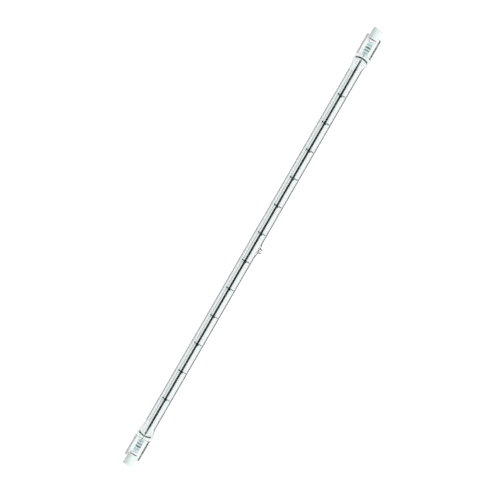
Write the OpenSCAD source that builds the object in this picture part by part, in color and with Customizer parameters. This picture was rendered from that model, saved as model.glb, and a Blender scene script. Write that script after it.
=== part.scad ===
// Double-ended quartz heating tube: a clear tube with a coiled filament on its axis, pinched shut at
// both ends over a thin metal foil, each end set in a white ceramic cap with a recessed contact.
// The tube lies along X, the flat faces of its press seals are level, and the origin is mid-length
// on the axis. End b is at +X and end a is its mirror image.

/* [Lamp] */
// Length over both ceramic caps
overall_len = 355; // [320:1:400]

/* [Quartz tube] */
// Outer diameter of the tube
tube_od = 9.5; // [9:0.1:10.6]
// Wall of the tube
tube_wall = 1; // [0.8:0.05:1.3]
// Length over which each end flattens from round tube to press seal
flare_len = 8.5; // [6:0.5:14]

/* [Exhaust tip] */
// Distance of the tip from the middle of the tube, towards end b
tip_x = -0.2; // [-10:0.1:10]
// Height of the tip above the surface of the tube
tip_height = 3.1; // [2.6:0.1:4]
// Diameter of the tip's round head
tip_d = 3.8; // [3.2:0.1:4.4]
// Diameter of the neck under the head
tip_neck_d = 3; // [2.6:0.1:3.2]
// Reach of the fillet that blends the neck into the tube, along the tube
tip_skirt = 5; // [4:0.1:6]

/* [Press seal] */
// Length of a press seal, from the end of the cavity to its outer end
seal_len = 17.5; // [15:0.5:24]
// Width of a press seal
seal_w = 12; // [11.4:0.1:13]
// Thickness of the two edge flanges
seal_t = 4.4; // [3.8:0.1:5]
// Width of each edge flange
flange_w = 1.2; // [0.9:0.1:1.4]
// Thickness of the web between the flanges
web_t = 2.2; // [2:0.1:2.6]
// Distance from one cross rib to the next
rib_pitch = 2.1; // [1.9:0.05:2.4]
// Number of cross ribs on each face of the web
rib_count = 4; // [2:1:4]
// Height of a cross rib above the web
rib_h = 0.35; // [0.2:0.05:0.5]

/* [Filament] */
// Outer diameter of the filament coil
coil_od = 1.7; // [1.6:0.05:2]
// Wire of the filament coil
coil_wire = 0.35; // [0.3:0.01:0.36]
// Distance from one turn of the coil to the next
coil_pitch = 2; // [1.6:0.1:4]
// Bare lead between the end of the coil and the end of the cavity
coil_gap = 2; // [1:0.1:4]

/* [Filament supports] */
// Wire of a spiral support
support_wire = 0.35; // [0.25:0.01:0.38]
// Advance of one turn of a support round the coil
support_wrap_pitch = 0.8; // [0.5:0.05:1.2]
// Reach of a support's open loop on the side away from the tube wall, from the axis
support_loop = 1.95; // [1.6:0.05:2.4]
// Distance from the end of the coil to the outermost support
support_margin = 28.25; // [20:0.25:40]

/* [Leads and foils] */
// Diameter of the inner and outer leads
lead_d = 0.8; // [0.6:0.05:0.85]
// Length of inner lead inside the end of the coil
lead_in_coil = 2.8; // [1.5:0.1:5]
// Width of a sealing foil
foil_w = 4.2; // [3:0.1:6]
// Thickness of a sealing foil
foil_t = 0.05; // [0.03:0.01:0.1]
// Length of each lead that is welded on the foil
foil_lap = 2; // [1.5:0.1:3]
// Quartz between the end of the cavity and the foil
foil_cover = 2.4; // [1.5:0.1:3]
// Quartz between the foil and the outer end of the press seal
foil_tail = 3.1; // [2.6:0.1:4]

/* [Ceramic caps] */
// Diameter of a ceramic cap
cap_d = 7.5; // [7:0.1:8]
// Length of a ceramic cap
cap_len = 8.5; // [8:0.1:12]
// Depth of the slot that straddles the press seal
cap_slot = 2.5; // [2:0.1:3.5]
// Chamfer round the outer end of a cap
cap_chamfer = 0.3; // [0.1:0.05:0.6]
// Diameter of the recess in front of the contact
recess_d = 5.2; // [4.8:0.1:5.6]
// Depth of the recess in front of the contact
recess_depth = 1.5; // [1:0.1:2]
// Layer of cement between the press seal and the cap
cement_gap = 0.25; // [0.15:0.05:0.4]
// Reach of the cement fillet along the web
cement_reach = 2.3; // [1.5:0.1:2.6]

/* [Contacts] */
// Diameter of a contact button
contact_d = 4.6; // [4:0.1:4.8]
// Thickness of a contact button
contact_t = 1; // [0.8:0.1:1.4]

/* [Hidden] */

// Running clearance between wires that hold one another
wire_gap = 0.03;
// Clearance of a lead in its hole through the ceramic
lead_gap = 0.15;
// Play of a contact button in its pocket
contact_gap = 0.05;
// How far the slotted part of a cap is set in from its round nose
cap_step = 0.2;
// How far the cement stays in from the slotted part
cement_inset = 0.1;
// Width of the weld that joins a lead to its foil
weld_w = 0.3;
// Overlap that joins two shapes of one piece, or carries a cut past a face
lap = 0.3;

tube_r = tube_od / 2;
bore_r = tube_r - tube_wall;
half_len = overall_len / 2;
cap_x = half_len - cap_len;
seal_end = cap_x + cap_slot;
seal_start = seal_end - seal_len;
flare_x = seal_start - flare_len;
web_w = seal_w - 2 * flange_w;

coil_r = (coil_od - coil_wire) / 2;
coil_half = seal_start - coil_gap;
coil_turns = round(2 * coil_half / coil_pitch);

support_count = 12;
support_step = 2 * (coil_half - support_margin) / (support_count - 1);
wrap_r = coil_od / 2 + wire_gap + support_wire / 2;
wall_r = bore_r - wire_gap - support_wire / 2;
wrap_turns = 2;
// Angle over which the end of a support lies along the wall of the tube
wall_arc = 60;
// Steps in a turn, and sides of the wire, of the coil, of a support's wraps, its loop and its tail
coil_steps = 6;
coil_sides = 4;
support_steps = 8;
support_sides = 5;
loop_steps = 14;
tail_steps = 2;

lead_r = lead_d / 2;
foil_x = seal_start + foil_cover;
foil_len = seal_len - foil_cover - foil_tail;
foil_z = -lead_r - foil_t / 2;
nose_start = cap_slot + cement_gap;
slotted_d = cap_d - 2 * cap_step;
contact_face = half_len - recess_depth;
contact_x = contact_face - contact_t;

// Points round one quarter of a loft's ring
ring_steps = 7;
// Rings of a loft from the round tube to the press seal
flare_rings = 8;
// Share of the flattening that the first ring, inside the tube, already has
flare_begin = 0.005;
// How far a loft stays inside the tube or the seal where it joins them
joint_step = 0.05;
// Corner radius of the press seal's section and of its outer corners
seal_corner = 1.2;
// Half height of the thin outer end of the cavity
cavity_end = 0.5;
// How far the end of the cavity bows out in the middle
cavity_bow = 1.3;
// How squarely that end fills its width and height: 2 is an ellipse
cavity_square = 8;
// Quartz left beside the widest part of the cavity
cavity_side = 1.1;
// Length of the full section at the inner end of the press seal, on each side of the cavity's end
seal_shoulder = 1;
// Bare web between the last cross rib's middle and the foot of the cement
rib_clear = 2.2;
// First cross rib, from the end of the cavity
rib_start = seal_len - cap_slot - cement_reach - rib_clear - (rib_count - 1) * rib_pitch;
// Radius of a cross rib's round back
rib_r = 0.9;
// Length of the slope from the seal's full thickness down to its web
web_slope = 1.2;
// Share of the fillet's reach along the tube that it keeps across the tube
tip_oval = 0.6;
// Angle at which the top of the round head ends in a small flat
tip_top = 84;
// Diameter of the channel left in the neck, as a share of the neck, and of its melted end
tip_channel = 0.5;
tip_channel_end = 0.2;
// Steps round and up the exhaust tip
tip_sides = 24;
tip_rings = 6;

function ease(u) = u * u * (3 - 2 * u);
function mix(a, b, u) = a + (b - a) * u;

// One ring round an end: a circle when u is 0, the rounded section of the press seal when u is 1
function outside_ring(x, u) = [
    for (q = [0:3])
        for (i = [0:ring_steps - 1])
            let (
                a = 90 * (q + (i + 0.5) / ring_steps),
                r = tube_r - joint_step,
                flat_y = seal_w / 2 - joint_step - seal_corner,
                flat_z = seal_t / 2 - joint_step - seal_corner,
                side = (q == 0 || q == 3) ? 1 : -1,
                up = q < 2 ? 1 : -1,
                y = mix(r * cos(a), side * flat_y + seal_corner * cos(a), u),
                z = mix(r * sin(a), up * flat_z + seal_corner * sin(a), u)
            )
            [x, y, z]
];

// One ring round the cavity in an end: a circle when u is 0, a thin bowed slot when u is 1
function cavity_ring(x, u) = [
    for (i = [0:4 * ring_steps - 1])
        let (
            a = 90 * (i + 0.5) / ring_steps,
            r = bore_r - joint_step,
            half_w = seal_w / 2 - cavity_side,
            y = mix(r, half_w, u) * cos(a),
            height = cavity_end * pow(1 - pow(abs(cos(a)), cavity_square), 1 / cavity_square),
            z = mix(r * sin(a), sign(sin(a)) * height, u)
        )
        [x + cavity_bow * u * (1 - pow(y / half_w, 2)), y, z]
];

// Solid skinned over rings of equal count, each with as many points above the XY plane as below
module loft(rings) {
    n = len(rings[0]);
    last = (len(rings) - 1) * n;
    sides = [for (j = [0:len(rings) - 2]) for (i = [0:n - 1])
        let (a = j * n + i, b = j * n + (i + 1) % n)
        for (f = [[a, a + n, b], [b, a + n, b + n]]) f];
    first_end = [for (i = [0:n / 2 - 2])
        for (f = [[i, i + 1, n - 1 - i], [i + 1, n - 2 - i, n - 1 - i]]) f];
    last_end = [for (f = first_end) [last + f[0], last + f[2], last + f[1]]];
    polyhedron([for (r = rings) each r], concat(sides, first_end, last_end));
}

// The outside of one end, from round tube to just inside the press seal
module flare_outside() {
    loft([for (j = [0:flare_rings])
        let (u = j / flare_rings)
        outside_ring(mix(flare_x - lap, seal_start - seal_shoulder, u), mix(flare_begin, 1, ease(u)))]);
}

// The cavity in one end, which flattens to a thin bowed edge
module flare_cavity() {
    loft([for (j = [0:flare_rings])
        let (u = j / flare_rings)
        cavity_ring(mix(flare_x - lap, seal_start - cavity_bow, u), mix(flare_begin, 1, ease(u)))]);
}

module rounded_rect(w, h, r) {
    square([w - 2 * r, h], center = true);
    square([w, h - 2 * r], center = true);
    for (x = [-1, 1])
        for (y = [-1, 1])
            translate([x * (w / 2 - r), y * (h / 2 - r)])
                circle(r, $fn = 32);
}

// The flat pressed end: two thick edge flanges joined by a thin web with cross ribs
module seal_body() {
    body_x = seal_start - seal_shoulder - lap;
    body_len = seal_end - body_x;
    difference() {
        intersection() {
            translate([body_x, 0, 0])
                rotate([90, 0, 90])
                    linear_extrude(body_len)
                        rounded_rect(seal_w, seal_t, seal_corner);
            // Round corners at the outer end, seen from above
            translate([seal_end - body_len, 0, -seal_t])
                linear_extrude(2 * seal_t)
                    rounded_rect(2 * body_len, seal_w, seal_corner);
        }
        for (m = [0, 1])
            mirror([0, 0, m])
                web_recess();
    }
    for (i = [0:rib_count - 1])
        for (m = [0, 1])
            mirror([0, 0, m])
                translate([seal_start + rib_start + i * rib_pitch, 0, web_t / 2 + rib_h - rib_r])
                    rotate([90, 0, 0])
                        cylinder(h = web_w + 2 * lap, r = rib_r, center = true, $fn = 32);
}

// What the press takes away above the web, with a sloping inner end
module web_recess() {
    start = seal_start + seal_shoulder;
    rise = seal_t / 2 + lap;
    translate([0, web_w / 2, 0])
        rotate([90, 0, 0])
            linear_extrude(web_w)
                polygon([
                    [start, rise],
                    [start + web_slope, web_t / 2],
                    [seal_end + lap, web_t / 2],
                    [seal_end + lap, rise]
                ]);
}

// Surface of the tube above the XZ plane at height z, on the side of the exhaust tip
function tube_side(z) = sqrt(tube_r * tube_r - z * z);

// Closed-off exhaust stub: a fillet draped over the round tube, a neck and a round head
module exhaust_tip() {
    head_r = tip_d / 2;
    neck_r = tip_neck_d / 2;
    head_y = tube_r + tip_height - head_r;
    neck_angle = acos(neck_r / head_r);
    neck_y = head_y - head_r * sin(neck_angle);
    skirt_z = tip_skirt * tip_oval;
    buried = [for (a = tip_angles()) let (z = skirt_z * sin(a))
        [tip_x + tip_skirt * cos(a), -tube_side(z) + 2 * lap, z]];
    skirt = [for (j = [0:tip_rings]) let (b = 90 * j / tip_rings) [for (a = tip_angles())
        let (
            z = mix(skirt_z, neck_r, sin(b)) * sin(a),
            y = mix(tube_side(z) - wire_gap, neck_y, 1 - cos(b))
        )
        [tip_x + mix(tip_skirt, neck_r, sin(b)) * cos(a), -y, z]]];
    head = [for (j = [1:tip_rings]) let (b = mix(-neck_angle, tip_top, j / tip_rings))
        [for (a = tip_angles())
            [tip_x + head_r * cos(b) * cos(a), -head_y - head_r * sin(b), head_r * cos(b) * sin(a)]]];
    tube_skin(concat([buried], skirt, head));
}

function tip_angles() = [for (i = [0:tip_sides - 1]) 360 * i / tip_sides];

// Solid skinned over flat-ended rings
module tube_skin(rings) {
    n = len(rings[0]);
    top = (len(rings) - 1) * n;
    sides = [for (j = [0:len(rings) - 2]) for (i = [0:n - 1])
        let (a = j * n + i, b = j * n + (i + 1) % n)
        for (f = [[a, b, a + n], [b, b + n, a + n]]) f];
    fans = [for (i = [1:n - 2]) for (f = [[0, i + 1, i], [top, top + i, top + i + 1]]) f];
    polyhedron([for (r = rings) each r], concat(sides, fans));
}

// Room in the quartz for the foil and for the leads that reach it
module sealed_in() {
    foil();
    inner_lead();
    outer_lead();
}

module quartz_envelope() {
    color([0.9, 0.96, 0.96, 0.35])
        difference() {
            union() {
                rotate([0, 90, 0])
                    cylinder(h = 2 * flare_x, r = tube_r, center = true, $fn = 96);
                exhaust_tip();
                for (m = [0, 1])
                    mirror([m, 0, 0]) {
                        flare_outside();
                        seal_body();
                    }
            }
            rotate([0, 90, 0])
                cylinder(h = 2 * flare_x, r = bore_r, center = true, $fn = 96);
            // The channel left in the tip when the stub was melted shut
            translate([tip_x, -bore_r + lap, 0])
                rotate([90, 0, 0])
                    cylinder(h = tube_wall + tip_height / 2 + lap, d1 = tip_channel * tip_neck_d,
                        d2 = tip_channel_end, $fn = 32);
            for (m = [0, 1])
                mirror([m, 0, 0]) {
                    flare_cavity();
                    sealed_in();
                }
        }
}

// One cross-section of a round wire that runs round the X axis: at is [x, radius, angle] and
// rise is the wire's angle out of the plane across the axis
function wire_ring(at, rise, wire_d, sides) = [
    for (k = [0:sides - 1])
        let (
            b = 360 * k / sides,
            out = at[1] + wire_d / 2 * cos(b),
            along = wire_d / 2 * sin(b)
        )
        [
            at[0] + along * cos(rise),
            out * cos(at[2]) + along * sin(rise) * sin(at[2]),
            out * sin(at[2]) - along * sin(rise) * cos(at[2])
        ]
];

// Wire bent along a path of [x, radius, angle] stations
module wire(path, wire_d, sides) {
    last = len(path) - 1;
    tube_skin([for (i = [0:last])
        let (
            p = path[max(i - 1, 0)],
            q = path[min(i + 1, last)],
            turn = (q[2] - p[2]) * PI / 180 * path[i][1]
        )
        wire_ring(path[i], atan2(q[0] - p[0], turn), wire_d, sides)]);
}

module filament() {
    steps = coil_turns * coil_steps;
    color([0.25, 0.25, 0.26])
        wire([for (i = [0:steps]) [
            mix(-coil_half, coil_half, i / steps),
            coil_r,
            360 * i / coil_steps
        ]], coil_wire, coil_sides);
}

// Spiral support: turns wound on the coil, then one open loop out to the wall of the tube, where
// its end lies along the wall
module support(number) {
    x = (number - (support_count + 1) / 2) * support_step;
    wrap_steps = wrap_turns * support_steps;
    growth = ln((wall_r - wrap_r) / (support_loop - wrap_r)) / ln(2);
    wraps = [for (i = [0:wrap_steps - 1]) [
        x + (i - wrap_steps) * support_wrap_pitch / support_steps,
        wrap_r / cos(180 / support_steps),
        180 + 360 * (i - wrap_steps) / support_steps
    ]];
    loop = [for (i = [0:loop_steps]) [
        x,
        max(wrap_r / cos(180 / support_steps), mix(wrap_r, wall_r, pow(i / loop_steps, growth))),
        180 + 360 * i / loop_steps
    ]];
    tail = [for (i = [1:tail_steps]) [x, wall_r, 180 + 360 + wall_arc * i / tail_steps]];
    color([0.3, 0.3, 0.31])
        wire(concat(wraps, loop, tail), support_wire, support_sides);
}

// Round lead from x to end, with the weld that seats it on the foil from weld_x on
module lead(x, end, weld_x) {
    translate([x, 0, 0])
        rotate([0, 90, 0])
            cylinder(h = end - x, r = lead_r, $fn = 32);
    translate([weld_x, -weld_w / 2, -lead_r])
        cube([foil_lap, weld_w, lead_r]);
}

module inner_lead() {
    color([0.45, 0.46, 0.47])
        lead(coil_half - lead_in_coil, foil_x + foil_lap, foil_x);
}

module foil() {
    color([0.5, 0.52, 0.54])
        translate([foil_x, -foil_w / 2, foil_z - foil_t / 2])
            cube([foil_len, foil_w, foil_t]);
}

module outer_lead() {
    start = foil_x + foil_len - foil_lap;
    color([0.45, 0.46, 0.47])
        lead(start, contact_x, start);
}

module contact() {
    crown = contact_d / 2 - contact_t / 2;
    color([0.72, 0.7, 0.66])
        translate([contact_x, 0, 0])
            rotate([0, 90, 0])
                rotate_extrude($fn = 48) {
                    square([crown, contact_t]);
                    square([contact_d / 2, contact_t / 2]);
                    intersection() {
                        translate([crown, contact_t / 2])
                            circle(contact_t / 2, $fn = 32);
                        square([contact_d, contact_t]);
                    }
                }
}

// The slot across the inner end of a cap, with room for the seal and the cement round it
module slot_room() {
    room_h = web_t + 2 * cement_gap;
    translate([cap_x - lap, -cap_d, -room_h / 2])
        cube([nose_start + lap, 2 * cap_d, room_h]);
}

module cap() {
    color([0.93, 0.94, 0.93])
        difference() {
            translate([cap_x, 0, 0])
                rotate([0, 90, 0]) {
                    cylinder(h = nose_start + lap, d = slotted_d, $fn = 64);
                    translate([0, 0, nose_start])
                        cylinder(h = cap_len - cap_chamfer - nose_start, d = cap_d, $fn = 64);
                    translate([0, 0, cap_len - cap_chamfer])
                        cylinder(h = cap_chamfer, d1 = cap_d, d2 = cap_d - 2 * cap_chamfer, $fn = 64);
                }
            slot_room();
            translate([cap_x, 0, 0])
                rotate([0, 90, 0])
                    cylinder(h = cap_len, r = lead_r + lead_gap, $fn = 32);
            translate([contact_x, 0, 0])
                rotate([0, 90, 0])
                    cylinder(h = cap_len, d = contact_d + 2 * contact_gap, $fn = 48);
            translate([contact_face, 0, 0])
                rotate([0, 90, 0])
                    cylinder(h = cap_len, d = recess_d, $fn = 48);
        }
}

// Cement between the seal and the cap, with a round fillet where it swells out over the web
module cement() {
    fillet_w = slotted_d / 2 - cement_inset;
    fillet_r = (fillet_w * fillet_w + cement_reach * cement_reach) / (2 * cement_reach);
    fillet_h = (cap_d - web_t) / 4;
    color([0.86, 0.86, 0.83])
        difference() {
            union() {
                intersection() {
                    slot_room();
                    translate([cap_x, 0, 0])
                        rotate([0, 90, 0])
                            cylinder(h = cap_len, d = slotted_d - 2 * cement_inset, $fn = 64);
                }
                intersection() {
                    for (m = [0, 1])
                        mirror([0, 0, m])
                            translate([cap_x - cement_reach + fillet_r, 0, web_t / 2])
                                cylinder(h = fillet_h, r1 = fillet_r, r2 = fillet_r - cement_reach,
                                    $fn = 64);
                    translate([cap_x - cap_d, -cap_d, -cap_d])
                        cube([cap_d, 2 * cap_d, 2 * cap_d]);
                }
            }
            translate([0, -seal_w, -web_t / 2])
                cube([seal_end, 2 * seal_w, web_t]);
            rotate([0, 90, 0])
                cylinder(h = half_len, r = lead_r, $fn = 32);
        }
}

quartz_envelope();
filament();
support(1);  // support_01
support(2);  // support_02
support(3);  // support_03
support(4);  // support_04
support(5);  // support_05
support(6);  // support_06
support(7);  // support_07
support(8);  // support_08
support(9);  // support_09
support(10);  // support_10
support(11);  // support_11
support(12);  // support_12
mirror([1, 0, 0]) inner_lead();  // inner_lead_a
inner_lead();  // inner_lead_b
mirror([1, 0, 0]) foil();  // foil_a
foil();  // foil_b
mirror([1, 0, 0]) outer_lead();  // outer_lead_a
outer_lead();  // outer_lead_b
mirror([1, 0, 0]) contact();  // contact_a
contact();  // contact_b
mirror([1, 0, 0]) cap();  // cap_a
cap();  // cap_b
mirror([1, 0, 0]) cement();  // cement_a
cement();  // cement_b
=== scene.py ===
# %% [markdown]
# # A quartz heating tube
# A slim lamp that heats: a clear quartz tube, a coiled filament held on its axis by spiral supports,
# a flat ribbed press seal at each end, and a round white ceramic cap over each seal. The CAD model
# gives every size. This lesson keeps its frame and builds the fine shapes and the finishes on it:
# smooth blown glass that really bends light, a closely wound coil, drawn wire, and fired ceramic.

# %% Load the CAD model and measure it
import math

import bpy
import numpy as np
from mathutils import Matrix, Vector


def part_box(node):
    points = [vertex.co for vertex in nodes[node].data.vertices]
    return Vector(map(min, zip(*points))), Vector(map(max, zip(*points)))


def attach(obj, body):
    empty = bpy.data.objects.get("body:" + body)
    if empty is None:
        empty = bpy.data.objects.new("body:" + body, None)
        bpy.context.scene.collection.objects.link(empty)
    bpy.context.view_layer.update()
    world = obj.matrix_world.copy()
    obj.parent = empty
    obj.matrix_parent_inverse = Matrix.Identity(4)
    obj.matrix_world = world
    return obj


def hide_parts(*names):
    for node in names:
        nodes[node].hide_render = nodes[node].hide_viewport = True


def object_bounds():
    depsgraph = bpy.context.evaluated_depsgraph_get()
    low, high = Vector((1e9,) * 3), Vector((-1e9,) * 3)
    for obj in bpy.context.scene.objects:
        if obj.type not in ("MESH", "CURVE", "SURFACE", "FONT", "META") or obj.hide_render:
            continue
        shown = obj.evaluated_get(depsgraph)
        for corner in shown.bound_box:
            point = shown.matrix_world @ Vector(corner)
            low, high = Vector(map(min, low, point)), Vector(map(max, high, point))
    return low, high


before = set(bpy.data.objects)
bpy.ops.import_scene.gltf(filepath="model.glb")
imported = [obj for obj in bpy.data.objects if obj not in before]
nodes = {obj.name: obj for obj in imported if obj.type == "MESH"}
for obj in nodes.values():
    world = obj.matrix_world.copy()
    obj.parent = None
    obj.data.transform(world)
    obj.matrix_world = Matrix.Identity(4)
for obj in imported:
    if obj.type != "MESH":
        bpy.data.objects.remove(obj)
cad_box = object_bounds()
MM = 0.001


def box_mm(node):
    """Lowest and highest corner of a CAD piece, in millimetres."""
    lo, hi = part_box(node)
    return np.array(lo) / MM, np.array(hi) / MM


print("CAD box in mm:", [[round(v / MM, 2) for v in corner] for corner in cad_box])

# %% [markdown]
# ## The camera
# The photograph looks straight down on the lamp, which runs from the lower left to the upper right,
# 30 degrees from upright. A very long lens keeps both ends square to the view, and it is placed so
# that one pixel of the 500 pixel frame is 0.7058 mm on the axis of the tube.

# %% Set up the camera
FRAME_PX = 500
MM_PER_PX = 0.7058
LAMP_CENTRE_PX = (252.6, 246.65)
TURN = math.radians(-60)

camera_data = bpy.data.cameras.new("camera")
camera_data.lens = 300
camera = bpy.data.objects.new("camera", camera_data)
bpy.context.scene.collection.objects.link(camera)
bpy.context.scene.camera = camera

right = np.array([math.cos(TURN), math.sin(TURN), 0])
up = np.array([-math.sin(TURN), math.cos(TURN), 0])
middle = (FRAME_PX - 1) / 2
aside = -(LAMP_CENTRE_PX[0] - middle) * right + (LAMP_CENTRE_PX[1] - middle) * up
height = FRAME_PX * MM_PER_PX * camera_data.lens / camera_data.sensor_width
camera.location = (aside * MM_PER_PX + np.array([0, 0, height])) * MM
camera.rotation_euler = (0, 0, TURN)
camera_data.clip_end = 100
print("camera height in m:", round(camera.location.z, 3))

# %% [markdown]
# ## Helpers that make meshes
# Nearly every piece here is a skin stretched over rings of points: the glass along the tube, the
# wires along their path, the caps turned round their axis. One helper turns rings into faces, and
# another makes the object, so the pieces themselves only say where their rings are.

# %% Skins, pieces and booleans


def skin(rings):
    """Points and faces of a closed skin over rings that turn counter-clockwise about their way."""
    count, sides, _ = rings.shape
    start, side = np.meshgrid(np.arange(count - 1) * sides, np.arange(sides), indexing="ij")
    a, b = start + side, start + (side + 1) % sides
    quads = np.stack([a, b, b + sides, a + sides], -1).reshape(-1, 4).tolist()
    last = (count - 1) * sides
    ends = [list(range(sides))[::-1], list(range(last, last + sides))]
    return rings.reshape(-1, 3), quads + ends


def piece(name, points, faces, smooth_angle=40):
    """A new object from points in millimetres. Edges sharper than smooth_angle stay sharp."""
    mesh = bpy.data.meshes.new(name)
    mesh.from_pydata((np.asarray(points) * MM).tolist(), [], faces)
    mesh.validate()
    mesh.shade_smooth()
    mesh.set_sharp_from_angle(angle=math.radians(smooth_angle))
    made = bpy.data.objects.new(name, mesh)
    bpy.context.scene.collection.objects.link(made)
    return made


def boolean(target, tool, operation, smooth_angle=40):
    """Joins or cuts target with tool, bakes the result into target's mesh and removes tool."""
    step = target.modifiers.new("boolean", "BOOLEAN")
    step.object, step.operation, step.solver = tool, operation, "EXACT"
    bake(target, smooth_angle)
    bpy.data.objects.remove(tool)


def bake(target, smooth_angle=40):
    """Applies all modifiers of target."""
    depsgraph = bpy.context.evaluated_depsgraph_get()
    mesh = bpy.data.meshes.new_from_object(target.evaluated_get(depsgraph))
    target.modifiers.clear()
    target.data = mesh
    mesh.shade_smooth()
    mesh.set_sharp_from_angle(angle=math.radians(smooth_angle))


def ease(u):
    """A slow start and end between 0 and 1."""
    u = np.clip(u, 0, 1)
    return u * u * (3 - 2 * u)


def lerp(a, b, u):
    """The value a share u of the way from a to b."""
    return a + (b - a) * u


# %% [markdown]
# ## The quartz envelope
# On the real lamp this is one piece of clear fused quartz: a drawn tube whose ends are softened
# in a flame and pinched flat between two jaws, with the exhaust stub melted shut at the middle.
# It could be modelled as boxes and cylinders joined by booleans, but glass shows every seam. One
# skin of rings is smoother: each ring starts as the circle of the tube and eases into the pinched
# section, whose two thick flanges and thin ribbed web come from the jaws.

# %% Sizes of the glass
# All sizes are in millimetres. SEAL_W, SEAL_T and WEB_T are half the width of a seal, half the
# thickness of its flanges and half that of its web. The round tube begins to flatten at FLARE_X,
# and its cavity ends at SEAL_X. FLANK_Y and FLANK_W are the place and width of a flange's flank.
glass_lo, glass_hi = box_mm("quartz_envelope")
TUBE_R = -glass_lo[2]
WALL = 1.0
BORE_R = TUBE_R - WALL
SEAL_END = glass_hi[0]
SEAL_W = glass_hi[1]
SEAL_T = 2.2
CORNER = 1.2
END_EDGE = 0.5
FLARE_X = 145.5
SEAL_X = 154.0
SHOULDER = 1.0
WEB_T = 1.1
FLANK_Y = 4.85
FLANK_W = 0.45
SLOPE = 1.2
RIB_START = 4.2
RIB_PITCH = 2.1
RIB_COUNT = 4
RIB_X = SEAL_X + RIB_START + RIB_PITCH * np.arange(RIB_COUNT)
RIB_H = 0.35
RIB_R = 0.9
print("tube radius, seal end and seal half width in mm:", TUBE_R, SEAL_END, SEAL_W)

# %% Section of a press seal


def seal_outline():
    """One quarter of the press seal's section before the web is pressed, as y and z lists."""
    side_z = np.linspace(0, SEAL_T - CORNER, 4)[:-1]
    arc = np.radians(np.linspace(0, 90, 10))
    flank = np.linspace(FLANK_Y - 0.05, FLANK_Y - FLANK_W - 0.05, 11)[1:]
    top = np.linspace(flank[-1], 0, 13)[1:-1]
    y = np.concatenate([np.full(3, SEAL_W), SEAL_W - CORNER + CORNER * np.cos(arc), flank, top])
    z = np.concatenate([side_z, SEAL_T - CORNER + CORNER * np.sin(arc), np.full(21, SEAL_T)])
    return y, z


def around(y, z):
    """A full section from one quarter, counter-clockwise from the +Y side."""
    y_all = np.concatenate([y, [0], -y[::-1][:-1], -y, [0], y[::-1][:-1]])
    z_all = np.concatenate([z, [z[-1]], z[::-1][:-1], -z, [-z[-1]], -z[::-1][:-1]])
    return y_all, z_all


def pressed(x, y, z):
    """What the jaws do to the full section at x: the sunk web between the flanges, and its ribs."""
    rib = RIB_H - RIB_R + np.sqrt(np.maximum(RIB_R**2 - np.min((x - RIB_X) ** 2), 0))
    web = WEB_T + max(rib, 0) - SEAL_T
    sunk = ease((x - SEAL_X - SHOULDER) / SLOPE) * ease((FLANK_Y - np.abs(y)) / FLANK_W)
    return np.sign(z) * (np.abs(z) + np.where(np.abs(z) > SEAL_T - 0.2, sunk * web, 0))


quarter_y, quarter_z = seal_outline()
flat_y, flat_z = around(quarter_y, quarter_z)
turn = 2 * np.pi * np.arange(len(flat_y)) / len(flat_y)
print("points in a section:", len(flat_y))

# %% One ring of the outer skin


def outer_ring(x):
    """The outer section of the glass at distance x from the middle."""
    u = ease((x - FLARE_X) / (SEAL_X - SHOULDER - FLARE_X))
    z_pressed = pressed(x, flat_y, flat_z)
    y = lerp(TUBE_R * np.cos(turn), flat_y, u)
    z = lerp(TUBE_R * np.sin(turn), z_pressed, u)
    if x > SEAL_END - CORNER:
        into = x - (SEAL_END - CORNER)
        y = y * (SEAL_W - CORNER + math.sqrt(max(CORNER**2 - into**2, 0))) / SEAL_W
        deep = max(x - (SEAL_END - END_EDGE), 0)
        rounded = END_EDGE - math.sqrt(max(END_EDGE**2 - deep**2, 0))
        z = z - np.sign(z) * np.minimum(rounded, 0.6 * np.abs(z))
    return np.stack([np.full_like(y, x), y, z], -1)


# %% Outer skin of the glass
# The rings are close where the section changes, and far apart along the plain tube.
stations = np.concatenate([
    np.arange(0.2, 9, 0.4),
    np.linspace(9, 137, 17)[1:],
    np.linspace(137, FLARE_X, 8)[1:],
    np.linspace(FLARE_X, SEAL_X - SHOULDER, 24)[1:],
    np.linspace(SEAL_X - SHOULDER, RIB_X[0] - 1, 20)[1:],
    np.linspace(RIB_X[0] - 1, RIB_X[-1] + 1, 58)[1:],
    np.linspace(RIB_X[-1] + 1, SEAL_END - CORNER, 8)[1:],
    SEAL_END - CORNER + CORNER * np.sin(np.radians(np.linspace(10, 89, 10))),
])
half = np.array([outer_ring(x) for x in stations])
other = half[::-1] * np.array([-1, 1, 1])
quartz = piece("quartz_tube_and_seals", *skin(np.concatenate([other, half])), 55)
print("outer skin:", len(quartz.data.polygons), "faces")

# %% [markdown]
# The exhaust tip is what is left of the thin stub through which the tube was pumped out. It was
# pulled off in the flame, so it has a soft fillet, a neck and a round head. It is a skin of its
# own, joined to the tube by an exact boolean, because it stands across all the tube's rings.

# %% Exhaust tip
TIP_X = -0.2
TIP_TOP = -glass_lo[1]
TIP_R = 1.9
NECK_Y = 5.45
SKIRT = 6.5
SKIRT_SIDE = 3.2
SKIRT_RINGS = 24
HEAD_RINGS = 20
TIP_SIDES = 72
tip_turn = 2 * np.pi * np.arange(TIP_SIDES) / TIP_SIDES


def tube_side(z):
    """How far out the tube's surface is at height z."""
    return np.sqrt(TUBE_R**2 - z**2)


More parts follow.
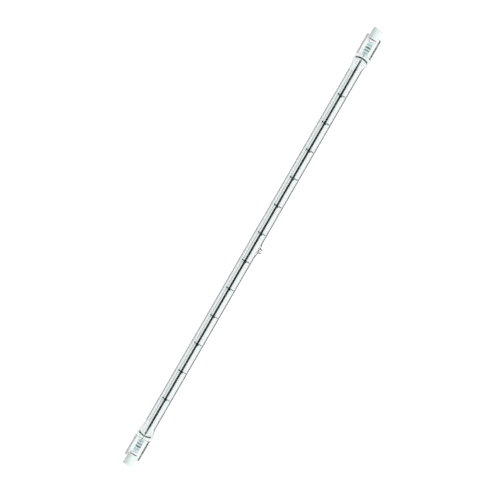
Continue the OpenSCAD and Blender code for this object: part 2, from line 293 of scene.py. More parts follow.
def tip_rings():
    """Rings up the fillet, from its wide foot in the tube to the neck, and over the round head."""
    head_y = TIP_TOP - TIP_R
    lean = math.asin((head_y - NECK_Y) / TIP_R)
    neck_r = TIP_R * math.cos(lean)
    rings = []
    for u in np.linspace(0, 1, SKIRT_RINGS):
        z = lerp(SKIRT_SIDE, neck_r, u) * np.sin(tip_turn)
        x = TIP_X + lerp(SKIRT, neck_r, u) * np.cos(tip_turn)
        y = lerp(tube_side(z) - 0.02, NECK_Y, u**1.6)
        rings.append(np.stack([x, -y, z], -1))
    buried = rings[0] + np.array([0, 0.5, 0])
    for b in np.linspace(-lean, math.radians(88), HEAD_RINGS)[1:]:
        ring_r = TIP_R * math.cos(b)
        y = np.full_like(tip_turn, -head_y - TIP_R * math.sin(b))
        rings.append(np.stack([TIP_X + ring_r * np.cos(tip_turn), y, ring_r * np.sin(tip_turn)], -1))
    return np.array([buried] + rings)


tip = piece("exhaust_tip", *skin(tip_rings()))
boolean(quartz, tip, "UNION", 55)
print("with the tip:", len(quartz.data.polygons), "faces")

# %% [markdown]
# The inside of the glass is a second skin that faces inwards: the bore, which flattens to a thin
# bowed edge at each seal, and the fine channel that was left in the tip. Light bends at this
# skin too, which is what draws the bright and dark lines along a real tube.

# %% Cavity
CAVITY_W = 4.9
CAVITY_T = 0.5
CAVITY_BOW = 1.3
CAVITY_SIDES = 120
cavity_turn = 2 * np.pi * (np.arange(CAVITY_SIDES) + 0.5) / CAVITY_SIDES


def flat_ring(w, t, corner):
    """Points of a thin rounded rectangle at even steps along its edge."""
    fine = np.radians(np.linspace(0, 360, 721)[:-1])
    y = np.sign(np.cos(fine)) * (w - corner) + corner * np.cos(fine)
    z = np.sign(np.sin(fine)) * (t - corner) + corner * np.sin(fine)
    step = np.hypot(np.diff(y, append=y[0]), np.diff(z, append=z[0]))
    along = np.concatenate([[0], np.cumsum(step)])
    at = along[-1] * cavity_turn / (2 * np.pi)
    return np.interp(at, along, np.append(y, y[0])), np.interp(at, along, np.append(z, z[0]))


def cavity_ring(x, thin=1.0):
    """The inner section at x: the round bore, or on its way to the thin bowed end in the seal."""
    u = ease((x - FLARE_X) / (SEAL_X - CAVITY_BOW - FLARE_X))
    y_flat, z_flat = flat_ring(CAVITY_W, CAVITY_T, CAVITY_T)
    y = lerp(BORE_R * np.cos(cavity_turn), y_flat, u)
    z = lerp(BORE_R * np.sin(cavity_turn), z_flat, u) * thin
    bow = CAVITY_BOW * u * (1 - (y / CAVITY_W) ** 2)
    return np.stack([x + bow, y, z], -1)


cavity_x = np.concatenate([
    np.linspace(0, 9, 16),
    np.linspace(9, 137, 17)[1:],
    np.linspace(137, FLARE_X, 8)[1:],
    np.linspace(FLARE_X, SEAL_X - CAVITY_BOW, 30)[1:],
])
half = [cavity_ring(x) for x in cavity_x]
for b in np.radians([25, 50, 70, 84]):
    half.append(cavity_ring(SEAL_X - CAVITY_BOW + CAVITY_T * math.sin(b), math.cos(b)))
half = np.array(half)
cavity = piece("cavity", *skin(np.concatenate([half[:0:-1] * np.array([-1, 1, 1]), half])), 60)
print("cavity:", len(cavity.data.polygons), "faces")

# %% Channel in the tip, and the glass made hollow
# Each pair is a distance out from the wall of the bore and the channel's radius there.
CHANNEL = [(-0.4, 0.5), (0.6, 0.42), (1.5, 0.3), (2.2, 0.16), (2.4, 0.05)]
CHANNEL_SIDES = 32
channel_turn = 2 * np.pi * np.arange(CHANNEL_SIDES) / CHANNEL_SIDES
channel = []
for out, r in CHANNEL:
    y = np.full(CHANNEL_SIDES, -BORE_R - out)
    channel.append(np.stack([TIP_X + r * np.cos(channel_turn), y, r * np.sin(channel_turn)], -1))
boolean(cavity, piece("channel", *skin(np.array(channel))), "UNION", 60)
boolean(quartz, cavity, "DIFFERENCE", 55)
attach(quartz, "root")
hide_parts("quartz_envelope")
print("glass:", len(quartz.data.polygons), "faces")

# %% [markdown]
# ## The filament
# The real filament is tungsten wire wound into one long close coil. The CAD model has only a few
# coarse turns. A skin with small rings swept along a helix gives the close winding, with a
# six-sided wire, because each wire is only a third of a millimetre thick.

# %% Wire swept round the axis


def wire(path, thickness, sides):
    """Rings of a round wire along path, a list of x, radius and angle about the axis."""
    x, r, angle = np.asarray(path).T
    out = np.stack([np.zeros_like(x), np.cos(angle), np.sin(angle)], -1)
    centre = out * r[:, None] + np.stack([x, np.zeros_like(x), np.zeros_like(x)], -1)
    way = np.gradient(centre, axis=0)
    way /= np.linalg.norm(way, axis=1, keepdims=True)
    first = out - way * np.sum(out * way, axis=1, keepdims=True)
    first /= np.linalg.norm(first, axis=1, keepdims=True)
    second = np.cross(way, first)
    b = 2 * np.pi * np.arange(sides) / sides
    ring = np.cos(b)[None, :, None] * first[:, None] + np.sin(b)[None, :, None] * second[:, None]
    return centre[:, None] + ring * thickness / 2


COIL_R = 0.66
COIL_WIRE = 0.38
COIL_TURNS = 620
COIL_STEPS = 12
COIL_GAP = 2.0
steps = COIL_TURNS * COIL_STEPS + 1
coil_half = SEAL_X - COIL_GAP
coil_path = np.stack([
    np.linspace(-coil_half, coil_half, steps),
    np.full(steps, COIL_R),
    np.linspace(0, 2 * np.pi * COIL_TURNS, steps),
], -1)
coil = piece("filament_coil", *skin(wire(coil_path, COIL_WIRE, 6)), 80)
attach(coil, "root")
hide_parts("filament")
print("coil:", COIL_TURNS, "turns,", len(coil.data.polygons), "faces")

# %% [markdown]
# ## The spiral supports
# A bare coil would sag when hot, so thin wires hold it on the axis. Each goes round the coil in three
# loose, tilted turns, and its end runs along the inside of the tube. The turns could be one plain
# helix, but a wire bent by hand swings in and out, so each half turn here has its own radius and
# place along the tube, with an eased step to the next. The same wire helper makes them, one object
# for each real piece.

# %% Path of a support
SUPPORTS = 12
SUPPORT_WIRE = 0.35
WALL_GAP = 0.03
HALF_TURN_STEPS = 16
WALL_R = BORE_R - WALL_GAP - SUPPORT_WIRE / 2
HALF_TURN_R = [1.15, 2.15, 1.15, 2.4, 1.35, 2.6, WALL_R]
HALF_TURN_X = [-1.1, -0.26, -0.74, 0.06, -0.38, 0.38, 0.2]
half_turns = list(zip(HALF_TURN_X, HALF_TURN_X[1:], HALF_TURN_R, HALF_TURN_R[1:]))
turns = [
    (lerp(x_0, x_1, ease(u)), lerp(r_0, r_1, ease(u)), math.pi * (1 + n + u))
    for n, (x_0, x_1, r_0, r_1) in enumerate(half_turns)
    for u in np.arange(0, 1, 1 / HALF_TURN_STEPS)
]
tail = [(0, WALL_R, math.pi * (len(HALF_TURN_X) + u / 3)) for u in np.linspace(0, 1, 8)]
print("points on the path of a support:", len(turns + tail))

# %% Spiral supports
supports = []
for number in range(1, SUPPORTS + 1):
    x = box_mm(f"support_{number:02d}")[1][0] - SUPPORT_WIRE / 2
    path = np.array(turns + tail) + [x, 0, 0]
    support = piece(f"spiral_support_{number:02d}", *skin(wire(path, SUPPORT_WIRE, 8)), 80)
    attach(support, "root")
    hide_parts(f"support_{number:02d}")
    supports.append(support)
print("supports:", len(supports), "of", len(supports[0].data.polygons), "faces")

# %% [markdown]
# ## The ceramic caps
# Each cap is pressed and fired ceramic: round, with a deep recess for the contact, and a slot that
# straddles the seal. A potter would turn it, and so does this step: an outline of lengths and
# radii, with every corner softened to a small arc, is turned round the axis. The slot is then cut
# with a wedge-mouthed block, because a cap has no sharp edge that would chip.

# %% Turned pieces with soft corners


def soften(outline, radius, steps=5):
    """A closed outline with each corner replaced by an arc, as far as the sides leave room."""
    outline = np.array(outline, dtype=float)
    made = []
    for here, before, after in zip(outline, np.roll(outline, 1, 0), np.roll(outline, -1, 0)):
        room = min(radius, 0.45 * np.linalg.norm(before - here), 0.45 * np.linalg.norm(after - here))
        a = here + (before - here) / np.linalg.norm(before - here) * room
        b = here + (after - here) / np.linalg.norm(after - here) * room
        for u in np.linspace(0, 1, steps):
            made.append((1 - u) ** 2 * a + 2 * u * (1 - u) * here + u**2 * b)
    return np.array(made)


def turned(name, outline, sides=96):
    """A ring-shaped piece turned round the X axis from a closed outline of x and radius."""
    b = 2 * np.pi * np.arange(sides) / sides
    x, r = outline.T
    count = len(x)
    rows = [np.broadcast_to(x, (sides, count)), np.outer(np.cos(b), r), np.outer(np.sin(b), r)]
    points = np.stack(rows, -1)
    i, j = np.meshgrid(np.arange(sides), np.arange(count), indexing="ij")
    i_next, j_next = (i + 1) % sides, (j + 1) % count
    quads = np.stack([i * count + j, i * count + j_next, i_next * count + j_next, i_next * count + j], -1)
    return piece(name, points.reshape(-1, 3), quads.reshape(-1, 4).tolist(), 35)


# %% Outline and slot of a cap
cap_lo, cap_hi = box_mm("cap_b")
CAP_X, CAP_END, CAP_R = cap_lo[0], cap_hi[0], cap_hi[1]
CAP_SLOT = 2.75
CAP_STEP = 0.2
LEAD_HOLE_R = 0.55
CONTACT_X, CONTACT_END = box_mm("contact_b")[0][0], box_mm("contact_b")[1][0]
POCKET_R = 2.35
RECESS_R = 2.6
SLOT_HALF = 1.35
SLOT_FLARE = 0.25
CAP_EDGE = 0.28
MOUTH = CAP_X - 1
WIDE = SLOT_HALF + SLOT_FLARE + 1
cap_outline = soften([
    (CAP_X, LEAD_HOLE_R), (CONTACT_X, LEAD_HOLE_R), (CONTACT_X, POCKET_R), (CONTACT_END, POCKET_R),
    (CONTACT_END, RECESS_R), (CAP_END, RECESS_R), (CAP_END, CAP_R), (CAP_X + CAP_SLOT, CAP_R),
    (CAP_X + CAP_SLOT, CAP_R - CAP_STEP), (CAP_X, CAP_R - CAP_STEP),
], CAP_EDGE)
slot_section = np.array([
    (MOUTH, WIDE), (MOUTH, -WIDE), (CAP_X + SLOT_FLARE, -SLOT_HALF),
    (CAP_X + CAP_SLOT, -SLOT_HALF), (CAP_X + CAP_SLOT, SLOT_HALF), (CAP_X + SLOT_FLARE, SLOT_HALF),
])
print("points in a cap's outline:", len(cap_outline))

# %% Caps
caps = []
for end, side in (("a", -1), ("b", 1)):
    outline = cap_outline * np.array([side, 1])
    cap = turned(f"ceramic_cap_{end}", outline if side > 0 else outline[::-1])
    rings = np.array([[(side * x, y, z) for x, z in slot_section] for y in (-CAP_R - 1, CAP_R + 1)])
    slot = piece("slot", *skin(rings[::side]))
    boolean(cap, slot, "DIFFERENCE", 35)
    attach(cap, "root")
    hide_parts(f"cap_{end}")
    caps.append(cap)
print("caps:", [len(cap.data.polygons) for cap in caps], "faces")

# %% [markdown]
# ## Node groups
# A node group is a small machine with named inputs and outputs. Two effects are used by several
# finishes here: the fine lines that drawing leaves along a wire or a tube, and the fine grain of
# a fired or cast surface. Each is built once, and every finish sets its own values.

# %% Helpers for shader nodes


def new_group(name, inputs, outputs):
    """An empty shader group. inputs has (name, kind, value), and outputs has (name, kind)."""
    group = bpy.data.node_groups.new(name, "ShaderNodeTree")
    kinds = {"value": "NodeSocketFloat", "colour": "NodeSocketColor"}
    for socket_name, kind, value in inputs:
        socket = group.interface.new_socket(socket_name, in_out="INPUT", socket_type=kinds[kind])
        socket.default_value = value
    for socket_name, kind in outputs:
        group.interface.new_socket(socket_name, in_out="OUTPUT", socket_type=kinds[kind])
    return group, group.nodes.new("NodeGroupInput"), group.nodes.new("NodeGroupOutput")


def add(tree, kind, **settings):
    """A new node. Settings that name a socket set or link it, and others set a property."""
    node = tree.nodes.new("ShaderNode" + kind)
    for key, value in settings.items():
        if hasattr(node, key) and key not in node.inputs:
            setattr(node, key, value)
        else:
            put(tree, node.inputs[key], value)
    return node


def put(tree, socket, value):
    """Links value to socket if it is an output, and sets it as a plain value otherwise."""
    if isinstance(value, bpy.types.NodeSocket):
        tree.links.new(value, socket)
    else:
        socket.default_value = value


def mix_colours(tree, share, a, b):
    """Colour a, with b mixed in by share."""
    node = add(tree, "Mix", data_type="RGBA")
    put(tree, node.inputs["Factor"], share)
    put(tree, node.inputs[6], a)
    put(tree, node.inputs[7], b)
    return node.outputs[2]


def math_node(tree, operation, a, b=0.0, c=0.0):
    """The result of one sum, product or other step on numbers or sockets."""
    node = add(tree, "Math", operation=operation)
    for socket, value in zip(node.inputs, (a, b, c)):
        put(tree, socket, value)
    return node.outputs[0]


def map_range(tree, value, low, high, at_low, at_high):
    """A smooth step from at_low to at_high while value goes from low to high."""
    sockets = {"Value": value, "From Min": low, "From Max": high, "To Min": at_low, "To Max": at_high}
    return add(tree, "MapRange", interpolation_type="SMOOTHSTEP", **sockets).outputs[0]


# %% Helpers for materials


def material(name):
    """A new material with a Principled shader, ready for its nodes."""
    made = bpy.data.materials.new(name)
    made.use_nodes = True
    tree = made.node_tree
    return made, tree, tree.nodes["Principled BSDF"], tree.nodes["Material Output"]


def use_group(tree, group, **values):
    """Places group in a material's tree, with its own values."""
    node = tree.nodes.new("ShaderNodeGroup")
    node.node_tree = group
    for key, value in values.items():
        put(tree, node.inputs[key.replace("_", " ")], value)
    return node


def object_place(tree):
    """The X, Y and Z outputs of a node that gives the place on the object, in metres."""
    return add(tree, "SeparateXYZ", Vector=add(tree, "TexCoord").outputs["Object"]).outputs


def in_mm(tree, value, less=0.0):
    """The size of value, turned from metres into millimetres, less a length in millimetres."""
    return math_node(tree, "MULTIPLY_ADD", math_node(tree, "ABSOLUTE", value), 1 / MM, -less)


def paint_over(tree, share, colour):
    """Mixes colour over what feeds the Base Color, by share."""
    base = tree.nodes["Principled BSDF"].inputs["Base Color"]
    put(tree, base, mix_colours(tree, share, base.links[0].from_socket, colour))


# %% Drawn lines
drawn, drawn_in, drawn_out = new_group(
    "drawn_lines",
    [("Fineness", "value", 3.0), ("Length", "value", 0.03),
     ("Light", "colour", (1, 1, 1, 1)), ("Dark", "colour", (0, 0, 0, 1))],
    [("Colour", "colour"), ("Lines", "value")],
)
at = object_place(drawn)
along = math_node(drawn, "MULTIPLY", at["X"], drawn_in.outputs["Length"])
stretched = add(drawn, "CombineXYZ", X=along, Y=at["Y"], Z=at["Z"])
scaled = add(drawn, "VectorMath", operation="SCALE", Scale=1 / MM)
put(drawn, scaled.inputs[0], stretched.outputs[0])
noise = add(drawn, "TexNoise", Vector=scaled.outputs[0], Scale=drawn_in.outputs["Fineness"], Detail=3.0)
put(drawn, drawn_out.inputs["Lines"], noise.outputs["Fac"])
put(drawn, drawn_out.inputs["Colour"],
    mix_colours(drawn, noise.outputs["Fac"], drawn_in.outputs["Dark"], drawn_in.outputs["Light"]))
print("group:", drawn.name)

# %% Fine grain
grain, grain_in, grain_out = new_group(
    "fine_grain",
    [("Grain size", "value", 0.3), ("Light", "colour", (1, 1, 1, 1)), ("Dark", "colour", (0, 0, 0, 1))],
    [("Colour", "colour"), ("Grain", "value"), ("Clouds", "value")],
)
place = add(grain, "TexCoord")
scale = math_node(grain, "DIVIDE", 1 / MM, grain_in.outputs["Grain size"])
fine = add(grain, "TexNoise", Vector=place.outputs["Object"], Scale=scale, Detail=4.0)
slow = math_node(grain, "MULTIPLY", scale, 0.12)
clouds = add(grain, "TexNoise", Vector=place.outputs["Object"], Scale=slow, Detail=2.0)
both = math_node(grain, "MULTIPLY_ADD", fine.outputs["Fac"], 0.5, clouds.outputs["Fac"])
share = add(grain, "MapRange", **{"Value": both, "From Min": 0.45, "From Max": 1.05})
put(grain, grain_out.inputs["Grain"], fine.outputs["Fac"])
put(grain, grain_out.inputs["Clouds"], clouds.outputs["Fac"])
put(grain, grain_out.inputs["Colour"],
    mix_colours(grain, share.outputs[0], grain_in.outputs["Dark"], grain_in.outputs["Light"]))
print("group:", grain.name)

# %% [markdown]
# ## The quartz finish
# Fused quartz is nearly colourless, so the glass is seen by what it bends and by its darker rims.
# The rims are painted shade, a dark reflection of the room painted into the colour. A Principled
# shader with Transmission 1 and quartz's index of refraction bends the light. Layer Weight tells how
# far the surface turns away from the line of sight, and the rim is painted there. One thin painted
# shadow line runs along the tube, where the coil's shadow on the floor is seen through the glass.
# Lamps couldn't shine through such glass without heavy noise, so for their light and for light that
# the floor sends back it is plain transparent.

# %% Quartz shader
QUARTZ_IOR = 1.458
# Distance from the axis of the painted shadow line, where the coil's shadow on the floor shows.
SHADOW_LINE_Y = 2.02


def make_quartz(name, clear, rim, span, fade=(1.0, 1.1), sides=(1.0, 1.0), tip_side=0.0, other_rim=None,
                shadow_line=0.0, ripple=0.1):
    """Clear glass with a darker rim.

    span is how far the surface turns away where the rim begins and is full, and fade is where it
    goes again. sides is the rim's share where the surface faces across and along the lamp.
    tip_side widens the rim on the side of the tip, and other_rim is the rim's colour on the other
    side, painted lighter where the light reaches it. shadow_line is the share of the rim's colour in a
    painted shadow line along the top of the tube, where the coil's shadow on the floor shows through,
    and ripple is the strength of the fine waves along the tube.
    """
    made, tree, shader, output = material(name)
    shader.inputs["IOR"].default_value = QUARTZ_IOR
    shader.inputs["Transmission Weight"].default_value = 1.0
    shader.inputs["Roughness"].default_value = 0.0
    # The rim is painted shade: a dark reflection of the room, mixed into the colour where the surface
    # turns away, and painted lighter on the side that the light reaches.
    weight = add(tree, "LayerWeight", Blend=0.5)
    at = object_place(tree)
    on_tip_side = map_range(tree, at["Y"], -2 * MM, 2 * MM, 1.0, 0.0)
    turned_away = math_node(tree, "MULTIPLY_ADD", on_tip_side, tip_side, weight.outputs["Facing"])
    begins = map_range(tree, turned_away, *span, 0.0, 1.0)
    ends = map_range(tree, turned_away, *fade, 1.0, 0.0)
    faces = add(tree, "SeparateXYZ", Vector=add(tree, "TexCoord").outputs["Normal"])
    along = map_range(tree, math_node(tree, "ABSOLUTE", faces.outputs["X"]), 0.25, 0.75, *sides)
    dark = math_node(tree, "MULTIPLY", math_node(tree, "MULTIPLY", begins, ends), along)
    # Painted shadow: a thin dark line on the top of the tube, for the coil's shadow on the floor.
    off_line = math_node(tree, "ABSOLUTE", math_node(tree, "SUBTRACT", at["Y"], SHADOW_LINE_Y * MM))
    on_line = map_range(tree, off_line, 0.1 * MM, 0.38 * MM, shadow_line, 0.0)
    on_top = map_range(tree, at["Z"], 0.0, 0.5 * MM, 0.0, 1.0)
    dark = math_node(tree, "MAXIMUM", dark, math_node(tree, "MULTIPLY", on_line, on_top))
    rim = mix_colours(tree, on_tip_side, other_rim or rim, rim)
    clouded = [0.98 * c for c in clear[:3]] + [1]
    lines = use_group(tree, drawn, Fineness=0.8, Length=0.02, Light=clear, Dark=clouded)
    put(tree, shader.inputs["Base Color"], mix_colours(tree, dark, lines.outputs["Colour"], rim))
    bump = add(tree, "Bump", Strength=ripple, Distance=0.00002, Height=lines.outputs["Lines"])
    put(tree, shader.inputs["Normal"], bump.outputs[0])
    path = add(tree, "LightPath")
    unseen = math_node(tree, "MAXIMUM", path.outputs["Is Shadow Ray"], path.outputs["Is Diffuse Ray"])
    through = add(tree, "BsdfTransparent", Color=(0.985, 0.99, 0.99, 1))
    both = add(tree, "MixShader")
    put(tree, both.inputs[0], unseen)
    put(tree, both.inputs[1], shader.outputs[0])
    put(tree, both.inputs[2], through.outputs[0])
    put(tree, output.inputs["Surface"], both.outputs[0])
    return made


print("shader for quartz with an index of refraction of", QUARTZ_IOR)

# %% [markdown]
# Each part of the glass has its own painted rim shade: narrow and dark along the drawn tube, faint
# in the bore, black on the steep flanks of the seals and all over the thin edge of the cavity, and
# softer on the side away from the tip, which the light reaches. So there are eight finishes, all
# from the same function with their own colours and spans.

# %% Finishes of the quartz
CLEAR = (0.965, 0.992, 0.99, 1)
# Colours of the painted rim shade, from faint to black.
BORE_RIM = (0.6, 0.65, 0.65, 1)
SOFT_RIM = (0.4, 0.45, 0.45, 1)
FLANK_RIM = (0.3, 0.34, 0.34, 1)
LIGHT_RIM = (0.14, 0.17, 0.17, 1)
RIM = (0.02, 0.027, 0.027, 1)
BLACK_RIM = (0.02, 0.025, 0.025, 1)
# Painted shade: the clear colour of the thin edge of the cavity is dark all over.
CAVITY_EDGE_SHADE = (0.15, 0.19, 0.19, 1)
quartz_finishes = [
    make_quartz("drawn_quartz", CLEAR, RIM, (0.32, 0.42), fade=(0.66, 0.95), tip_side=-0.03,
                other_rim=LIGHT_RIM, shadow_line=0.95),
    make_quartz("bore_quartz", CLEAR, BORE_RIM, (0.5, 0.75)),
    make_quartz("pressed_quartz", CLEAR, RIM, (0.5, 0.9), sides=(1.0, 0.15), tip_side=0.2,
                other_rim=SOFT_RIM, ripple=0.3),
    make_quartz("cavity_edge_quartz", CAVITY_EDGE_SHADE, BLACK_RIM, (0.2, 0.8), ripple=0.3),
    make_quartz("flank_quartz", CLEAR, BLACK_RIM, (0.1, 0.5), sides=(1.0, 0.15), tip_side=0.5,
                other_rim=LIGHT_RIM),
    make_quartz("flared_quartz", CLEAR, RIM, (0.3, 0.5), other_rim=SOFT_RIM),
    make_quartz("other_flank_quartz", CLEAR, FLANK_RIM, (-1.0, -0.5)),
    make_quartz("tip_quartz", CLEAR, SOFT_RIM, (0.6, 0.95)),
]
DRAWN, BORE, PRESSED, CAVITY_EDGE, FLANK, FLARED, OTHER_FLANK, TIP = range(len(quartz_finishes))
quartz.data.materials.clear()
for finish in quartz_finishes:
    quartz.data.materials.append(finish)
print("quartz finishes:", [finish.name for finish in quartz_finishes])

# %% [markdown]
# Which face gets which finish follows from where the middle of the face lies and which way it
# looks. Picking faces by hand would do the same, but wouldn't survive a change of the mesh.

# %% Which face has which finish


def face_table(mesh, attribute):
    """The x, y and z rows of a face attribute."""
    values = np.zeros(len(mesh.polygons) * 3)
    mesh.polygons.foreach_get(attribute, values)
    return values.reshape(-1, 3).T


x, y, z = face_table(quartz.data, "center") / MM
normal = face_table(quartz.data, "normal")
inner = (normal[1] * y + normal[2] * z < 0) & (np.abs(y) < CAVITY_W + 0.05)
slots = np.full(len(x), DRAWN, dtype=np.int32)
slots[np.abs(x) > SEAL_X - SHOULDER] = PRESSED
slots[inner & (np.abs(x) < SEAL_X + 0.1)] = BORE
edge_x = SEAL_X - CAVITY_BOW * (y / CAVITY_W) ** 2 - 0.5 - 0.6 * np.abs(y / CAVITY_W)
slots[(slots == BORE) & (np.abs(x) > edge_x)] = CAVITY_EDGE
from_tip = np.abs(x - TIP_X)
slots[(slots == DRAWN) & (y < -3.2) & (from_tip < 1.75)] = TIP
slots[(slots != BORE) & (y < -4.9) & (from_tip < 2.6)] = TIP
slots[(slots == DRAWN) & (np.abs(x) > FLARE_X - 2)] = FLARED
on_slope = np.abs(np.abs(y) - FLANK_Y + FLANK_W / 2) < FLANK_W / 2 + 0.05
on_edge = (y < -FLANK_Y) & (y > -FLANK_Y - 0.1)
raised = (slots == PRESSED) & (np.abs(z) > WEB_T + 0.05) & (np.abs(x) > SEAL_X + SHOULDER + 0.4)
slots[raised & (on_slope | on_edge)] = FLANK
slots[raised & (y > 4.95) & (y < 5.3)] = OTHER_FLANK
quartz.data.polygons.foreach_set("material_index", slots)
print("quartz faces by finish:", [int((slots == n).sum()) for n in range(len(quartz_finishes))])

# %% [markdown]
# On either side of the tip, the light bent by the neck shows dark. That is painted shade: a mask
# on the distance from the tip's axis and on the height above the tube darkens the glass there.

# %% Painted shade on the sides of the tip
TIP_SIDE_SHADE = (0.004, 0.006, 0.006, 1)
tree = quartz_finishes[TIP].node_tree
at = object_place(tree)
from_middle = math_node(tree, "ABSOLUTE", math_node(tree, "ADD", at["X"], -TIP_X * MM))
outwards = math_node(tree, "MULTIPLY", at["Y"], -1.0)
low = map_range(tree, outwards, 5.5 * MM, 5.8 * MM, 0.0, 1.0)
high = map_range(tree, outwards, 6.8 * MM, 7.2 * MM, 1.0, 0.0)
streak = map_range(tree, from_middle, 0.85 * MM, 1.1 * MM, 0.0, 1.0)
paint_over(tree, math_node(tree, "MULTIPLY", streak, math_node(tree, "MULTIPLY", low, high)), TIP_SIDE_SHADE)
print("smoky streaks from 0.85 mm beside the tip's axis")

# %% [markdown]
# ## Metal finishes
# The metal inside is drawn wire or rolled foil. The tungsten is coloured near black and satin, and
# the leads stay light. The foil lies inside the glass in fine folds that scatter the light, so it is
# only partly metallic here: a full mirror would show nothing but the dark ceiling. The drawn lines
# group varies the colour and the roughness along the wire.

# %% Tungsten, molybdenum, foil and nickel


def make_metal(name, light, dark, rough, fineness=6.0, length=0.2, metallic=1.0):
    """Drawn or rolled metal with fine lines between a light and a dark colour."""
    made, tree, shader, _ = material(name)
    shader.inputs["Metallic"].default_value = metallic
    lines = use_group(tree, drawn, Fineness=fineness, Length=length, Light=light, Dark=dark)
    put(tree, shader.inputs["Base Color"], lines.outputs["Colour"])
    sheen = {"Value": lines.outputs["Lines"], "To Min": rough - 0.08, "To Max": rough + 0.1}
    put(tree, shader.inputs["Roughness"], add(tree, "MapRange", **sheen).outputs[0])
    bump = add(tree, "Bump", Strength=0.3, Distance=0.00001, Height=lines.outputs["Lines"])
    put(tree, shader.inputs["Normal"], bump.outputs[0])
    return made


tungsten = make_metal("wound_tungsten", (0.035, 0.042, 0.042, 1), (0.01, 0.012, 0.012, 1), 0.42)
support_wire = make_metal("support_wire", (0.03, 0.036, 0.036, 1), (0.01, 0.012, 0.012, 1), 0.4)
molybdenum = make_metal("drawn_molybdenum", (0.82, 0.86, 0.86, 1), (0.6, 0.64, 0.64, 1), 0.3)
nickel = make_metal("pressed_nickel", (0.66, 0.63, 0.58, 1), (0.45, 0.43, 0.4, 1), 0.3, 2.0, 1.0)
foil = make_metal("rolled_foil", (0.82, 0.98, 0.98, 1), (0.7, 0.85, 0.85, 1), 0.3, 1.5, 0.6, 0.15)
print("metals:", [m.name for m in (tungsten, support_wire, molybdenum, nickel, foil)])

# %% [markdown]
# Where a support crosses just beside the coil, on the side away from the tip, the top of its wire
# catches the light. A mask on the distance from that line paints a highlight on a short stretch of it.

# %% Painted highlight on the supports
HIGHLIGHT_Y = 1.05
SUPPORT_HIGHLIGHT = (0.8, 0.85, 0.85, 1)
tree = support_wire.node_tree
beside_coil = math_node(tree, "ABSOLUTE", math_node(tree, "ADD", object_place(tree)["Y"], -HIGHLIGHT_Y * MM))
paint_over(tree, map_range(tree, beside_coil, 0.15 * MM, 0.35 * MM, 1.0, 0.0), SUPPORT_HIGHLIGHT)
print("bright stretch at", HIGHLIGHT_Y, "mm from the axis")

# %% [markdown]
# The jaws press the web's ribs and the foil together, so the foil lies in fine cross folds under
# them. Those folds turn their reflection to the dark of the room, and that dark reflection is painted
# into the colour: a mask on the distance from the nearest rib paints the bars, and leaves the foil
# light between them. The bars bow a little, and they are deepest at the middle of the ribs.

# %% Painted reflection: cross bars on the foil
BAR_BOW = 0.06
DEEPEST = 4.8
DARK_REFLECTION = (0.11, 0.16, 0.16, 1)
tree = foil.node_tree
at = object_place(tree)
across = math_node(tree, "MULTIPLY", at["Y"], 1 / MM)
bow = math_node(tree, "MULTIPLY", math_node(tree, "MULTIPLY", across, across), BAR_BOW)
along = math_node(tree, "ADD", in_mm(tree, at["X"], RIB_X[0] - RIB_PITCH / 2), bow)
in_pitch = math_node(tree, "FLOORED_MODULO", along, RIB_PITCH)
from_rib = math_node(tree, "ABSOLUTE", math_node(tree, "SUBTRACT", in_pitch, RIB_PITCH / 2))
bar = map_range(tree, from_rib, 0.15, 0.55, 1.0, 0.0)
ribbed = map_range(tree, along, 8.0, 8.6, 1.0, 0.0)
from_deepest = math_node(tree, "ABSOLUTE", math_node(tree, "ADD", along, -DEEPEST))
strength = map_range(tree, from_deepest, 0.5, 3.0, 0.95, 0.35)
paint_over(tree, math_node(tree, "MULTIPLY", math_node(tree, "MULTIPLY", bar, ribbed), strength), DARK_REFLECTION)
print("bars every", RIB_PITCH, "mm")

# %% [markdown]
# ## Ceramic and cement
# The caps are pressed and fired steatite, white with a faint grey-green body and a fine matt grain.
# The cement that holds them is a little darker and rougher. The fine grain group gives both.

# %% Ceramic and cement


def make_fired(name, light, dark, grain_mm, rough, depth):
    """A fired or set body: cloudy between two colours, with a bump of fine grain, depth in mm."""
    made, tree, shader, _ = material(name)
    specks = use_group(tree, grain, Grain_size=grain_mm, Light=light, Dark=dark)
    put(tree, shader.inputs["Base Color"], specks.outputs["Colour"])
    sheen = {"Value": specks.outputs["Clouds"], "To Min": rough - 0.1, "To Max": rough + 0.1}
    put(tree, shader.inputs["Roughness"], add(tree, "MapRange", **sheen).outputs[0])
    bump = add(tree, "Bump", Strength=0.4, Distance=depth * MM, Height=specks.outputs["Grain"])
    put(tree, shader.inputs["Normal"], bump.outputs[0])
    return made


ceramic = make_fired("fired_steatite", (0.81, 0.88, 0.875, 1), (0.73, 0.81, 0.805, 1), 0.35, 0.5, 0.03)
cement = make_fired("set_cement", (0.95, 0.96, 0.95, 1), (0.86, 0.88, 0.87, 1), 0.5, 0.8, 0.05)
print("fired finishes:", ceramic.name, cement.name)

# %% [markdown]
# The cement swells out of the cap's mouth in a round white bead. Its colour has painted shade: grey
# at its foot on the glass, and a dark seam for the shaded crevice between the bead and the ceramic.
# Two masks, on the height and on the distance from the cap, darken the colour there.

# %% Painted shade at the seam and foot of the cement
SHADE = (0.06, 0.07, 0.07, 1)
tree = cement.node_tree
at = object_place(tree)
middle_part = map_range(tree, in_mm(tree, at["Y"]), 1.9, 3.0, 1.0, 0.0)
near_cap = map_range(tree, in_mm(tree, at["X"], CAP_X), -0.75, -0.5, 0.0, 1.0)
seam = math_node(tree, "MULTIPLY", near_cap, middle_part)
foot = map_range(tree, in_mm(tree, at["Z"], WEB_T), 0.02, 0.2, 0.4, 0.0)
paint_over(tree, math_node(tree, "MAXIMUM", seam, foot), SHADE)
print("seam within 0.75 mm of the cap")

# %% [markdown]
# ## Finish on every piece
# The coil, the supports and the caps have no finish yet. The leads, foils, contacts and cement come
# straight from the CAD model, so their finish goes into the first slot of the mesh they have. The
# foils cast no shadow: they are so thin that the floor below them stays bright.

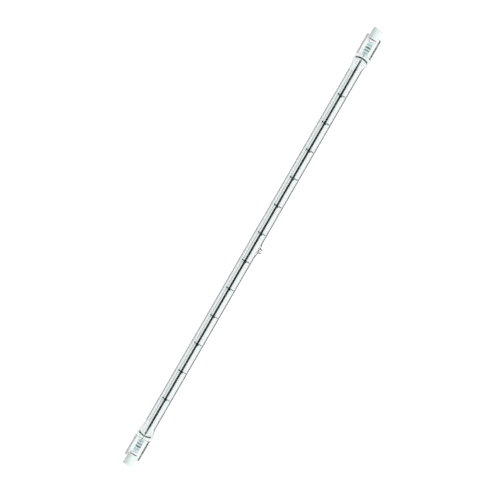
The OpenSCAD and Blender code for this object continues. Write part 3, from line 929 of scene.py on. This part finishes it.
# %% Give every piece its finish


def dress(made, finish):
    """Puts finish in an object's first material slot."""
    if made.data.materials:
        made.data.materials[0] = finish
    else:
        made.data.materials.append(finish)


dress(coil, tungsten)
for support in supports:
    dress(support, support_wire)
for cap in caps:
    dress(cap, ceramic)
for end in "ab":
    dress(nodes[f"inner_lead_{end}"], molybdenum)
    dress(nodes[f"outer_lead_{end}"], molybdenum)
    dress(nodes[f"foil_{end}"], foil)
    nodes[f"foil_{end}"].visible_shadow = False
    dress(nodes[f"contact_{end}"], nickel)
    dress(nodes[f"cement_{end}"], cement)
print("pieces with a finish:", 1 + len(supports) + len(caps) + 2 * 5, "besides the glass")

# %% [markdown]
# ## Floor and light
# The lamp lies on a plain pale floor. The floor has a little light of its own, a bit more where the
# camera sees it directly, so that it turns out white. The rest of its brightness comes from the
# lamps, which keeps the shadows.

# %% Floor
FLOOR_Z = cad_box[0].z
FLOOR_HALF = 15.0
GLOW_BEHIND_GLASS = 0.48
GLOW_SEEN = 0.72
corners = np.array([[-1, -1, 0], [1, -1, 0], [1, 1, 0], [-1, 1, 0]])
floor = piece("floor", corners * FLOOR_HALF / MM, [[0, 1, 2, 3]])
floor.location.z = FLOOR_Z
paper, tree, shader, output = material("white_floor")
shader.inputs["Base Color"].default_value = (0.5, 0.5, 0.5, 1)
shader.inputs["Roughness"].default_value = 1.0
shader.inputs["Specular IOR Level"].default_value = 0.0
path = add(tree, "LightPath")
glow = add(tree, "Emission", Color=(1, 1, 1, 1))
strength = map_range(tree, path.outputs["Is Camera Ray"], 0.0, 1.0, GLOW_BEHIND_GLASS, GLOW_SEEN)
put(tree, glow.inputs["Strength"], strength)
total = add(tree, "AddShader")
put(tree, total.inputs[0], shader.outputs[0])
put(tree, total.inputs[1], glow.outputs[0])
put(tree, output.inputs["Surface"], total.outputs[0])
dress(floor, paper)
print("floor at", round(FLOOR_Z / MM, 2), "mm")

# %% [markdown]
# A lamp nearly overhead lights the object, and hides the coil's shadow under the coil. A wide soft
# one on the tip's side gives the round caps their shade. The world fills the rest evenly. What
# metal and glass mirror of it is a bright room with a darker ceiling: a white ceiling would lie
# as a veil over the filament.

# %% Lamps and world
FILL = 0.33
CEILING = 0.2


def seen(tree):
    """1 for rays from the camera and rays that metal or glass sends on, 0 for other light."""
    path = add(tree, "LightPath").outputs
    first = math_node(tree, "MAXIMUM", path["Is Camera Ray"], path["Is Glossy Ray"])
    return math_node(tree, "MAXIMUM", first, path["Is Transmission Ray"])


def soft_lamp(name, lean, heading, distance, size, power):
    """An area lamp aimed at the object: lean from upright, heading from -Y towards +X."""
    data = bpy.data.lights.new(name, "AREA")
    data.shape = "RECTANGLE"
    data.size, data.size_y, data.energy = size[0], size[1], power
    made = bpy.data.objects.new(name, data)
    bpy.context.scene.collection.objects.link(made)
    lean, heading = math.radians(lean), math.radians(heading)
    made.location = (
        distance * math.sin(lean) * math.sin(heading),
        -distance * math.sin(lean) * math.cos(heading),
        distance * math.cos(lean),
    )
    made.rotation_euler = (lean, 0, heading)
    made.visible_transmission = False
    made.visible_glossy = False
    return made


key = soft_lamp("key", 3, 0, 1.6, (0.6, 0.1), 9)
side_lamp = soft_lamp("side", 38, 0, 1.6, (1.2, 0.9), 13.7)

world = bpy.data.worlds.new("studio")
bpy.context.scene.world = world
world.use_nodes = True
tree = world.node_tree
fill = tree.nodes["Background"]
fill.inputs["Color"].default_value = (1, 1, 1, 1)
fill.inputs["Strength"].default_value = FILL
way = add(tree, "SeparateXYZ", Vector=add(tree, "TexCoord").outputs["Generated"])
room = map_range(tree, way.outputs["Z"], 0.55, 0.92, 1.0, CEILING)
around_us = add(tree, "Background", Color=(1, 1, 1, 1), Strength=room)
both = add(tree, "MixShader")
put(tree, both.inputs[0], seen(tree))
put(tree, both.inputs[1], fill.outputs[0])
put(tree, both.inputs[2], around_us.outputs[0])
put(tree, tree.nodes["World Output"].inputs["Surface"], both.outputs[0])
bpy.context.scene.view_settings.view_transform = "Standard"
print("lamp powers in W:", key.data.energy, side_lamp.data.energy)
